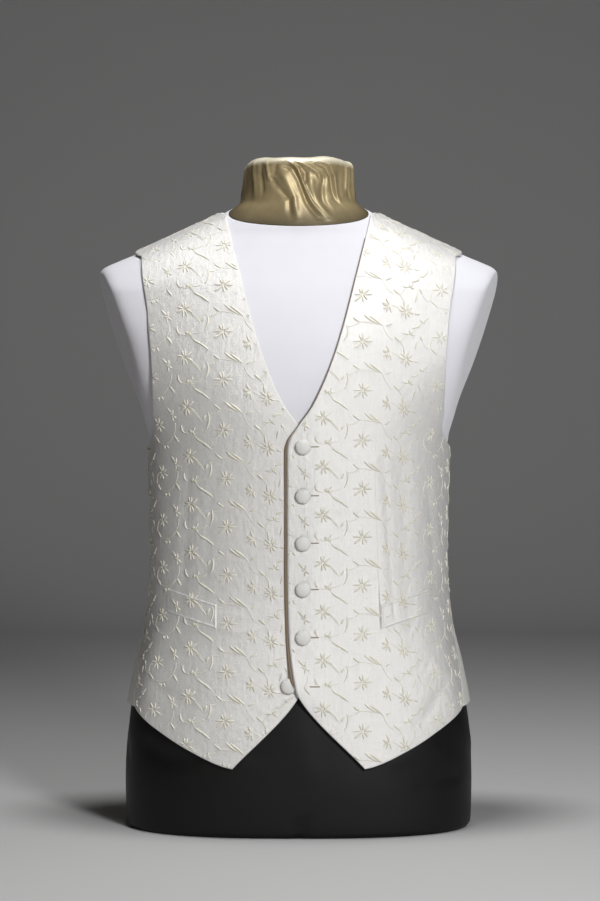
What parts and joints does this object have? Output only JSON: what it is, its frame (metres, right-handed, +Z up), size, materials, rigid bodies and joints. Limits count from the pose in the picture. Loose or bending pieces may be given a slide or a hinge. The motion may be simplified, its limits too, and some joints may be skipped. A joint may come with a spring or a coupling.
{
  "type": "embroidered waistcoat on a dress form",
  "caption": "Single-breasted V-neck waistcoat with flower embroidery, covered buttons and two welt pockets, worn by a limbless dress form.",
  "frame": {"origin": "on the floor, at the middle of the dress form's foot", "axes": "+Z up, the front faces -Y, +X to the wearer's left"},
  "size_m": [0.4582, 0.2597, 0.758],
  "materials": {
    "embroidered_silk": "slubbed ivory dupion silk with raised cream embroidery",
    "ivory_satin": "plain satin",
    "button_silk": "silk drawn over a domed button",
    "white_jersey": "matt fine jersey",
    "gold_silk": "gathered old-gold silk",
    "black_satin": "black satin"
  },
  "bodies": {
    "root": {"front_left": "embroidered_silk", "front_right": "embroidered_silk", "welt_left": "embroidered_silk", "welt_right": "embroidered_silk", "back_left": "ivory_satin", "back_right": "ivory_satin", "button_1": "button_silk", "button_2": "button_silk", "button_3": "button_silk", "button_4": "button_silk", "button_5": "button_silk", "button_6": "button_silk", "form_body": "white_jersey", "neck_cap": "gold_silk", "hip_cover": "black_satin"}
  },
  "joints": []
}
